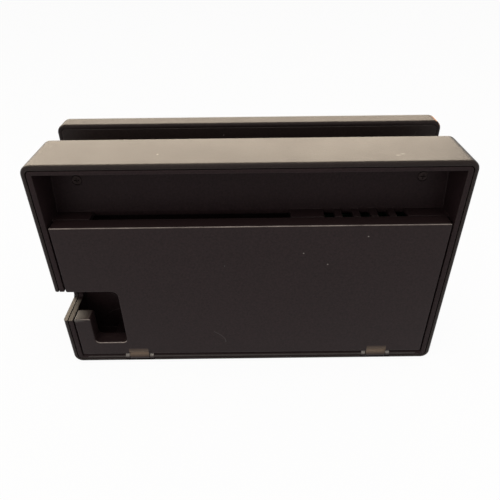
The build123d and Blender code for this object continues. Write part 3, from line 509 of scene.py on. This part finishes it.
def plated_sheet(name, colour, roughness, tarnish):
    """Plated sheet metal with rolling lines."""
    material, tree = start_material(name)
    skin = add_node(tree, "ShaderNodeGroup", node_tree=rolled_metal)
    skin.inputs["Colour"].default_value = (*colour, 1)
    skin.inputs["Tarnish Colour"].default_value = (*tarnish, 1)
    skin.inputs["Roughness"].default_value = roughness
    bump = add_node(
        tree,
        "ShaderNodeBump",
        {"Height": skin.outputs["Height"], "Strength": 0.25, "Distance": 0.00003},
    )
    shader = add_node(
        tree,
        "ShaderNodeBsdfPrincipled",
        {
            "Base Color": skin.outputs["Colour"],
            "Roughness": skin.outputs["Roughness"],
            "Metallic": 1.0,
            "Normal": bump.outputs["Normal"],
        },
    )
    finish_material(tree, shader)
    return material


zinc_sheet = plated_sheet(
    "zinc_sheet", colour=(0.55, 0.55, 0.54), roughness=0.34, tarnish=(0.34, 0.33, 0.31)
)
dress(zinc_sheet, "plug_bracket")
spring_steel = plated_sheet(
    "spring_steel", colour=(0.48, 0.46, 0.43), roughness=0.26, tarnish=(0.30, 0.27, 0.23)
)
dress(spring_steel, "plug_spring")
plug_steel = plated_sheet(
    "plug_steel", colour=(0.62, 0.62, 0.62), roughness=0.2, tarnish=(0.42, 0.41, 0.40)
)
dress(plug_steel, "dock_plug")
carrier_plastic = moulded_plastic(
    "carrier_plastic",
    colour=(0.012, 0.012, 0.012),
    roughness=0.5,
    specular=0.35,
    grain_depth=0.3,
    edge_wear=0.2,
    dust_share=0.05,
)
dress(carrier_plastic, "plug_carrier")

# The screws are cross-headed and self-tapping, of blackened or plain plated steel.
# The dark ones hold the rear housing; the bright ones hold boards and bracket inside.

black_screw_steel = plated_sheet(
    "black_screw_steel", colour=(0.038, 0.028, 0.027), roughness=0.5, tarnish=(0.020, 0.015, 0.014)
)
dress(black_screw_steel, "housing_screws")
bright_screw_steel = plated_sheet(
    "bright_screw_steel", colour=(0.5, 0.5, 0.49), roughness=0.3, tarnish=(0.3, 0.29, 0.27)
)
dress(bright_screw_steel, "bracket_screws", "board_screws", "side_board_screws")

# Two flat black leads run inside: one from the plug's carrier and one from the status light.
# Their jackets are soft extruded vinyl, and each ends in a cream nylon socket on the main board.
# A ribbon of film joins the main board to the side board through two more such sockets.

lead_jacket = rubber("lead_jacket", colour=(0.014, 0.014, 0.014), roughness=0.55)
dress(lead_jacket, "plug_cable", "led_cable")
nylon = moulded_plastic(
    "nylon",
    colour=(0.52, 0.48, 0.38),
    roughness=0.42,
    specular=0.5,
    grain_depth=0.2,
    edge_wear=0.0,
    dust_share=0.02,
)
dress(nylon, "plug_cable_socket", "led_socket", "main_ribbon_socket", "side_ribbon_socket")
ribbon_film = moulded_plastic(
    "ribbon_film",
    colour=(0.55, 0.55, 0.52),
    roughness=0.3,
    specular=0.5,
    grain_depth=0.1,
    edge_wear=0.0,
    dust_share=0.0,
)
dress(ribbon_film, "ribbon_cable")

# The boards are glass-fibre laminate under green solder mask, with copper traces showing faintly through.
# Chips, coils and cans are soldered on, and a tinned can over a silicone pad shields the chips.


def board_laminate(name):
    """Green solder mask over copper traces and pads."""
    mask_colour = (0.005, 0.022, 0.014, 1)
    trace_colour = (0.025, 0.06, 0.03, 1)
    line_colour = (0.004, 0.014, 0.010, 1)
    trace_reach = 0.32
    trace_strength = 0.35
    line_strength = 0.3
    material, tree = start_material(name)
    place = object_place(tree)
    cells = add_node(
        tree,
        "ShaderNodeTexBrick",
        {"Vector": place, "Scale": 420.0, "Mortar Size": 0.06, "Mortar Smooth": 0.2},
    )
    traces = add_node(
        tree,
        "ShaderNodeTexVoronoi",
        {"Vector": place, "Scale": 260.0},
        feature="F1",
        distance="CHEBYCHEV",
    )
    trace = number(tree, "LESS_THAN", traces.outputs["Distance"], trace_reach)
    grain = add_node(tree, "ShaderNodeGroup", node_tree=moulded_grain)
    grain.inputs["Colour"].default_value = mask_colour
    grain.inputs["Roughness"].default_value = 0.3
    trace_share = number(tree, "MULTIPLY", trace, trace_strength)
    copper = blend_colour(tree, trace_share, grain.outputs["Colour"], trace_colour)
    line_share = number(tree, "MULTIPLY", cells.outputs["Fac"], line_strength)
    shade = blend_colour(tree, line_share, copper, line_colour)
    bump = add_node(tree, "ShaderNodeBump", {"Height": trace, "Strength": 0.4, "Distance": 0.00004})
    shader = add_node(
        tree,
        "ShaderNodeBsdfPrincipled",
        {"Base Color": shade, "Roughness": grain.outputs["Roughness"], "Normal": bump.outputs["Normal"]},
    )
    finish_material(tree, shader)
    return material


laminate = board_laminate("board_laminate")
dress(laminate, "main_board", "side_board", "led_board")
chip_resin = moulded_plastic(
    "chip_resin",
    colour=(0.012, 0.012, 0.013),
    roughness=0.55,
    specular=0.4,
    grain_depth=0.5,
    edge_wear=0.3,
    dust_share=0.02,
)
dress(chip_resin, "video_chip", "hub_chip")
ferrite = moulded_plastic(
    "ferrite",
    colour=(0.045, 0.044, 0.045),
    roughness=0.6,
    specular=0.4,
    grain_depth=0.6,
    edge_wear=0.2,
    dust_share=0.02,
)
dress(ferrite, "inductors")
silicone_pad = rubber("silicone_pad", colour=(0.24, 0.27, 0.31), roughness=0.7)
dress(silicone_pad, "thermal_pad")
tin_can = plated_sheet("tin_can", colour=(0.63, 0.63, 0.61), roughness=0.28, tarnish=(0.46, 0.45, 0.42))
dress(tin_can, "board_shield", "capacitors")

# The sockets are stamped and folded tin-plated sheet, with a black tongue that carries gilt contacts.
# Three face the cable bay and two face the side of the dock.

socket_tin = plated_sheet("socket_tin", colour=(0.6, 0.6, 0.59), roughness=0.25, tarnish=(0.42, 0.41, 0.38))
tongue_plastic = moulded_plastic(
    "tongue_plastic",
    colour=(0.010, 0.010, 0.011),
    roughness=0.4,
    specular=0.4,
    grain_depth=0.2,
    edge_wear=0.0,
    dust_share=0.0,
)
for socket_name in ("video_socket", "usb_socket", "power_socket", "lower_side_socket", "upper_side_socket"):
    dress(socket_tin, socket_name)
    dress(tongue_plastic, f"{socket_name}_tongue")
contact_gilt = plated_sheet(
    "contact_gilt", colour=(0.70, 0.49, 0.20), roughness=0.22, tarnish=(0.46, 0.31, 0.13)
)


def contact_strips(socket_name, tongue_thick, count, pitch, strip_wide, sides, mouth_way):
    """A row of crowned contact strips along a socket's tongue, with noses that slope towards its mouth."""
    low, high = (Vector(corner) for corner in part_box(f"{socket_name}_tongue"))
    middle = (low + high) / 2
    mouth_x = high.x if mouth_way > 0 else low.x
    strip_tall = 0.00012
    strip_sunk = 0.00005
    nose_long = 0.0006
    mouth_gap = 0.0005
    strip_long = (high.x - low.x) * 0.5
    half = strip_wide / 2
    crown = ((-half, 0.0), (-half, 0.6), (-half * 0.5, 1.0), (half * 0.5, 1.0), (half, 0.6), (half, 0.0))
    stations = ((0.0, 0.1), (nose_long, 1.0), (strip_long, 1.0))
    mesh = bmesh.new()
    for side in sides:
        face_y = middle.y + side * (tongue_thick / 2 - strip_sunk)
        for index in range(count):
            strip_z = middle.z + (index - (count - 1) / 2) * pitch
            rings = []
            for along, share in stations:
                x = mouth_x - mouth_way * (mouth_gap + along)
                rise = strip_sunk + strip_tall * share
                ring = [mesh.verts.new((x, face_y + side * rise * up, strip_z + over)) for over, up in crown]
                rings.append(ring)
            for near, far in zip(rings, rings[1:]):
                for corner in range(len(crown)):
                    following = (corner + 1) % len(crown)
                    mesh.faces.new((near[corner], near[following], far[following], far[corner]))
            mesh.faces.new(rings[0])
            mesh.faces.new(rings[-1])
    bmesh.ops.recalc_face_normals(mesh, faces=mesh.faces)
    data = bpy.data.meshes.new(f"{socket_name}_contacts")
    mesh.to_mesh(data)
    mesh.free()
    data.materials.append(contact_gilt)
    strips = bpy.data.objects.new(f"{socket_name}_contacts", data)
    bpy.context.scene.collection.objects.link(strips)
    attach(strips, "dock")


contact_strips(
    "video_socket", tongue_thick=0.0013, count=9, pitch=0.0010, strip_wide=0.0005, sides=(-1, 1), mouth_way=1
)
contact_strips(
    "usb_socket", tongue_thick=0.0019, count=4, pitch=0.0024, strip_wide=0.0011, sides=(1,), mouth_way=1
)
contact_strips(
    "power_socket", tongue_thick=0.0008, count=10, pitch=0.0006, strip_wide=0.0003, sides=(-1, 1), mouth_way=1
)
for socket_name in ("lower_side_socket", "upper_side_socket"):
    contact_strips(
        socket_name, tongue_thick=0.0019, count=4, pitch=0.0024, strip_wide=0.0011, sides=(1,), mouth_way=-1
    )

# The status light is a clear acrylic pipe, pushed through the front cover from inside.
# It is frosted a little at its face, so that it glows evenly.


def clear_acrylic(name):
    """Clear moulded acrylic with a frosted skin."""
    frost_per_metre = 4000.0
    frost_spread = 0.2
    least_frost = 0.15
    material, tree = start_material(name)
    frost = noise(tree, object_place(tree), frost_per_metre, 2.0)
    rough = number(tree, "MULTIPLY_ADD", frost, frost_spread, least_frost)
    shader = add_node(
        tree,
        "ShaderNodeBsdfPrincipled",
        {"Base Color": (0.86, 0.92, 0.88, 1), "Roughness": rough, "IOR": 1.49, "Transmission Weight": 1.0},
    )
    finish_material(tree, shader)
    return material


acrylic = clear_acrylic("clear_acrylic")
dress(acrylic, "light_pipe")

# The front cover is a shallow shell of the same plastic as the main body, from a duller mould.
# It fits over the slot's front wall, and only its outer side shows.

front_plastic = moulded_plastic(
    "front_plastic",
    colour=(0.0150, 0.0100, 0.0096),
    roughness=0.50,
    specular=0.12,
    grain_depth=0.6,
    edge_wear=0.04,
    dust_share=0.10,
    ior=1.45,
)
dress(front_plastic, "front_cover")

# The rear housing is the deep frame inside the rear box, with the grip recess, vents and cable bay.
# It is moulded from the same plastic, a shade duller where nothing rubs it, and six screws hold it.
# A highlight is painted along the rim under the cover and on the notch's up-facing faces, and a glint on the
# two ears beside each hinge knuckle.

hinge_xs = (0.0545, -0.0601)
ear_offset = 0.00585
# Painted glints on the ears beside each hinge knuckle, and a painted highlight along the rim's top edge.
ear_glint_colour = (0.33, 0.305, 0.28)
rim_highlight_colour = (0.06, 0.055, 0.051)
rim_highlight = {"Middle X": 0.0, "Half Width": 0.0795, "Top Z": 0.0041, "Crest Z": 0.0037, "Foot Z": 0.0034}
housing_highlights = [(highlight_patch, notch_highlight_colour, notch_highlight), (highlight_patch, rim_highlight_colour, rim_highlight)]
for hinge_x in hinge_xs:
    for ear_x in (hinge_x - ear_offset, hinge_x + ear_offset):
        ear = {"Middle X": ear_x, "Half Width": 0.0009, "Top Z": 0.0056, "Crest Z": 0.0046, "Foot Z": 0.0034}
        housing_highlights.append((highlight_patch, ear_glint_colour, ear))
housing_plastic = moulded_plastic(
    "housing_plastic",
    colour=(0.0170, 0.0098, 0.0106),
    roughness=0.52,
    specular=0.10,
    grain_depth=0.5,
    edge_wear=0.03,
    dust_share=0.06,
    marks_and_highlights=housing_highlights,
)
dress(housing_plastic, "rear_housing")

# The rear cover swings down on two trunnions at its foot and closes the cable bay.
# It is moulded flat with a turned-in rim, and is the face that hands and leads mark most.
# Tan sheen is painted on its two knuckles, and highlights on the finger's top face and on its bevels facing
# up.

rear_y = cad_box[1][1]
# Painted highlight: the finger's top face in the cover's cut-out is made pale, as if lit from above.
finger_highlight_colour = (0.10, 0.094, 0.086)
finger_highlight = {"Middle": (0.0822, 0.0235, 0.0272), "Reach": (0.0075, 0.006, 0.0014)}
speck_colour = (0.2, 0.18, 0.165)
speck_reach = (0.0004, 0.001, 0.0004)
# Painted sheen: a tan patch on each knuckle's rounded top, standing in for light from above.
knuckle_sheen_colour = (0.165, 0.12, 0.086)
cover_marks_and_highlights = [(fleck_and_highlight, finger_highlight_colour, finger_highlight)]
for speck_x, speck_z in ((-0.0482, 0.0714), (-0.0221, 0.0634), (-0.0326, 0.0576)):
    cover_marks_and_highlights.append((fleck_and_highlight, speck_colour, {"Middle": (speck_x, rear_y, speck_z), "Reach": speck_reach}))
for hinge_x in hinge_xs:
    knuckle = {
        "Middle X": hinge_x,
        "Half Width": 0.00466,
        "Top Z": 0.0094,
        "Crest Z": 0.0058,
        "Foot Z": 0.0030,
    }
    cover_marks_and_highlights.append((highlight_patch, knuckle_sheen_colour, knuckle))
cover_plastic = moulded_plastic(
    "cover_plastic",
    colour=(0.0170, 0.0098, 0.0103),
    roughness=0.47,
    specular=0.15,
    grain_depth=0.5,
    edge_wear=0.05,
    dust_share=0.16,
    marks_and_highlights=cover_marks_and_highlights,
    upper_edge_highlight=0.9,
)
dress(cover_plastic, "rear_cover")

# The studio is a white floor that keeps the dock's shadow and runs out to a white surround.
# A bright warm wall beyond the front shows only as sheen; a lamp's glow reaches only the front cover.
# Soft light from above and a faint fill from the picture's left do the rest.

floor_half = 6.0
floor_glow = 0.94
floor_mesh = bpy.data.meshes.new("floor")
floor_corners = [(floor_half * x, floor_half * y, 0) for x, y in ((-1, -1), (1, -1), (1, 1), (-1, 1))]
floor_mesh.from_pydata(floor_corners, [], [(0, 1, 2, 3)])
floor = bpy.data.objects.new("floor", floor_mesh)
bpy.context.scene.collection.objects.link(floor)


def seen_directly(tree):
    """1 for rays that show the background: from the camera, in a reflection or through something clear."""
    path = tree.nodes.new("ShaderNodeLightPath").outputs
    seen = number(tree, "MAXIMUM", path["Is Camera Ray"], path["Is Glossy Ray"])
    return number(tree, "MAXIMUM", seen, path["Is Transmission Ray"])


floor_paint, floor_tree = start_material("floor_paint")
matt = add_node(floor_tree, "ShaderNodeBsdfDiffuse", {"Color": (0.9, 0.9, 0.9, 1)})
glow = add_node(floor_tree, "ShaderNodeEmission", {"Color": (1, 1, 1, 1), "Strength": 1.0})
floor_share = number(floor_tree, "MULTIPLY", seen_directly(floor_tree), floor_glow)
floor_mix = add_node(
    floor_tree,
    "ShaderNodeMixShader",
    {0: floor_share, 1: matt.outputs[0], 2: glow.outputs[0]},
)
finish_material(floor_tree, floor_mix)
floor_mesh.materials.append(floor_paint)

ceiling_colour = (0.34, 0.26, 0.19, 1)
ceiling_start = 0.35
ceiling_full = 0.75
world = bpy.data.worlds.new("surround")
bpy.context.scene.world = world
world.use_nodes = True
world_tree = world.node_tree
world_tree.nodes.clear()
ambient = add_node(world_tree, "ShaderNodeBackground", {"Color": (1.0, 0.98, 0.96, 1), "Strength": 0.45})
ray_way = world_tree.nodes.new("ShaderNodeTexCoord").outputs["Generated"]
ray_up = add_node(world_tree, "ShaderNodeSeparateXYZ", {0: ray_way}).outputs["Z"]
overhead = between(world_tree, ray_up, ceiling_start, ceiling_full)
sky = blend_colour(world_tree, overhead, (1, 1, 1, 1), ceiling_colour)
white = add_node(world_tree, "ShaderNodeBackground", {"Color": sky, "Strength": 1.0})
world_mix = add_node(
    world_tree,
    "ShaderNodeMixShader",
    {0: seen_directly(world_tree), 1: ambient.outputs[0], 2: white.outputs[0]},
)
world_out = add_node(world_tree, "ShaderNodeOutputWorld")
world_tree.links.new(world_mix.outputs[0], world_out.inputs["Surface"])


def soft_light(name, place, aim, size, power, colour, only_reflected=False):
    """A rectangular soft light that faces a point. One that is only reflected lights nothing else."""
    lamp = bpy.data.lights.new(name, "AREA")
    lamp.shape = "RECTANGLE"
    lamp.size, lamp.size_y = size
    lamp.energy = power
    lamp.color = colour
    holder = bpy.data.objects.new(name, lamp)
    bpy.context.scene.collection.objects.link(holder)
    holder.visible_diffuse = not only_reflected
    holder.visible_camera = False
    holder.location = place
    holder.rotation_euler = (Vector(aim) - Vector(place)).to_track_quat("-Z", "Y").to_euler()
    return holder


soft_light(
    "bright_wall",
    place=(0.22, -0.8, 0.62),
    aim=(0.0, 0.0, 0.1),
    size=(1.84, 0.7),
    power=39.9,
    colour=(1.0, 0.84, 0.65),
    only_reflected=True,
)
soft_light(
    "left_fill",
    place=(0.55, 0.85, 0.5),
    aim=(0.03, 0.0, 0.05),
    size=(0.6, 0.6),
    power=1.2,
    colour=(1.0, 0.9, 0.86),
)
lamp_glow = soft_light(
    "lamp_glow",
    place=(-0.52, -0.55, 0.08),
    aim=(-0.08, 0.0, 0.1),
    size=(0.3, 0.2),
    power=3.0,
    colour=(1.0, 0.4, 0.14),
    only_reflected=True,
)
front_end = bpy.data.collections.new("front_end")
front_end.objects.link(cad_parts["front_cover"])
lamp_glow.light_linking.receiver_collection = front_end
soft_light(
    "top_light",
    place=(0.0, 0.25, 1.1),
    aim=(0.0, 0.0, 0.05),
    size=(1.0, 0.8),
    power=7.0,
    colour=(1.0, 0.97, 0.93),
)

# The camera stands where the photograph was taken from: behind and above the dock, a little rolled.
# Its place and moderate wide-angle lens fit the dock's known size and the edges in the photograph.

sensor_wide = 36.0
focal_length = 34.67
nearest_seen = 0.01
camera_place = Vector((0.0005, 0.1928, 0.1773))
camera_turn = math.radians(-0.07)
camera_down = math.radians(34.01)
camera_roll = math.radians(-0.64)
camera_data = bpy.data.cameras.new("camera")
camera_data.sensor_width = sensor_wide
camera_data.lens = focal_length
camera_data.clip_start = nearest_seen
camera = bpy.data.objects.new("camera", camera_data)
bpy.context.scene.collection.objects.link(camera)
facing = Matrix.Rotation(math.pi + camera_turn, 4, "Z") @ Matrix.Rotation(math.pi / 2 - camera_down, 4, "X")
camera.matrix_world = Matrix.Translation(camera_place) @ facing @ Matrix.Rotation(camera_roll, 4, "Z")
bpy.context.scene.camera = camera

bpy.context.scene.view_settings.view_transform = "Standard"
